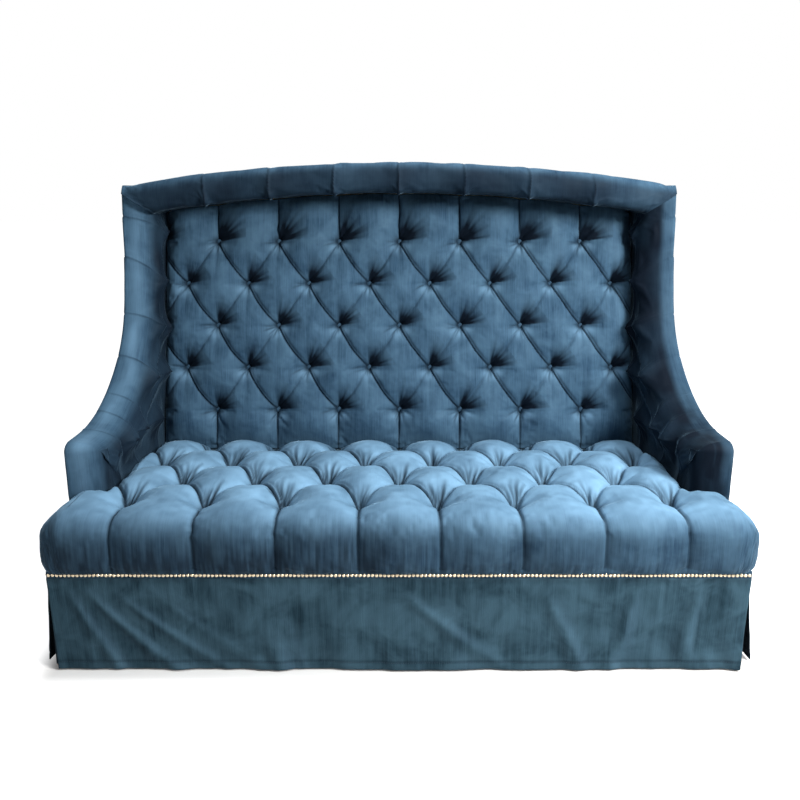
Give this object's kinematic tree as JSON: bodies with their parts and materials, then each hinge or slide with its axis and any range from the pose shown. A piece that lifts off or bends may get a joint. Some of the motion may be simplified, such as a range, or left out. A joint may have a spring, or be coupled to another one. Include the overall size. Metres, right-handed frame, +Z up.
{
  "type": "sofa",
  "caption": "High-backed winged settee in deep-buttoned velvet, with an arched top roll, low scooped arms, a nailhead line and a plain skirt to the floor.",
  "frame": {"origin": "on the floor, at the middle of the sofa's footprint", "axes": "+X to the right as seen from the front, +Y towards the back, +Z up"},
  "size_m": [2.1046, 1.0924, 1.4848],
  "materials": {
    "velvet": "crushed cotton velvet, blue-teal",
    "skirt_velvet": "the same velvet, hanging flat and lined",
    "nail_brass": "domed, satin",
    "frame_timber": "sawn hardwood",
    "frame_plywood": "plywood",
    "spring_steel": "oiled wire",
    "foam": "open-cell foam and wadding",
    "burlap": "coarse jute",
    "webbing": "jute webbing",
    "cambric": "black non-woven",
    "glide_nylon": "moulded"
  },
  "bodies": {
    "root": {"arm_buttons_left": "velvet", "arm_buttons_right": "velvet", "arm_cover_left": "velvet", "arm_cover_right": "velvet", "arm_foam_left": "foam", "arm_foam_right": "foam", "arm_panel_left": "frame_plywood", "arm_panel_right": "frame_plywood", "arm_stump_left": "frame_timber", "arm_stump_right": "frame_timber", "back_burlap": "burlap", "back_buttons": "velvet", "back_cover": "velvet", "back_foam": "foam", "back_lower_rail": "frame_timber", "back_post_left": "frame_timber", "back_post_right": "frame_timber", "back_rail": "frame_timber", "back_top_rail": "frame_timber", "back_upright_left": "frame_timber", "back_upright_right": "frame_timber", "back_webbing": "webbing", "corner_blocks": "frame_timber", "cross_rail_left": "frame_timber", "cross_rail_right": "frame_timber", "dust_cover": "cambric", "foot_back_centre": "frame_timber", "foot_back_left": "frame_timber", "foot_back_right": "frame_timber", "foot_front_centre": "frame_timber", "foot_front_left": "frame_timber", "foot_front_right": "frame_timber", "front_rail": "frame_timber", "glides": "glide_nylon", "hood_board": "frame_timber", "hood_buttons": "velvet", "hood_cover": "velvet", "hood_foam": "foam", "nails_front": "nail_brass", "nails_left": "nail_brass", "nails_right": "nail_brass", "outside_arm_left": "velvet", "outside_arm_right": "velvet", "outside_back": "velvet", "seat_burlap": "burlap", "seat_buttons": "velvet", "seat_cover": "velvet", "seat_foam": "foam", "seat_springs": "spring_steel", "side_rail_left": "frame_timber", "side_rail_right": "frame_timber", "skirt_back": "skirt_velvet", "skirt_front": "skirt_velvet", "skirt_left": "skirt_velvet", "skirt_right": "skirt_velvet", "spring_clips": "spring_steel", "tack_strip": "skirt_velvet"}
  },
  "joints": []
}
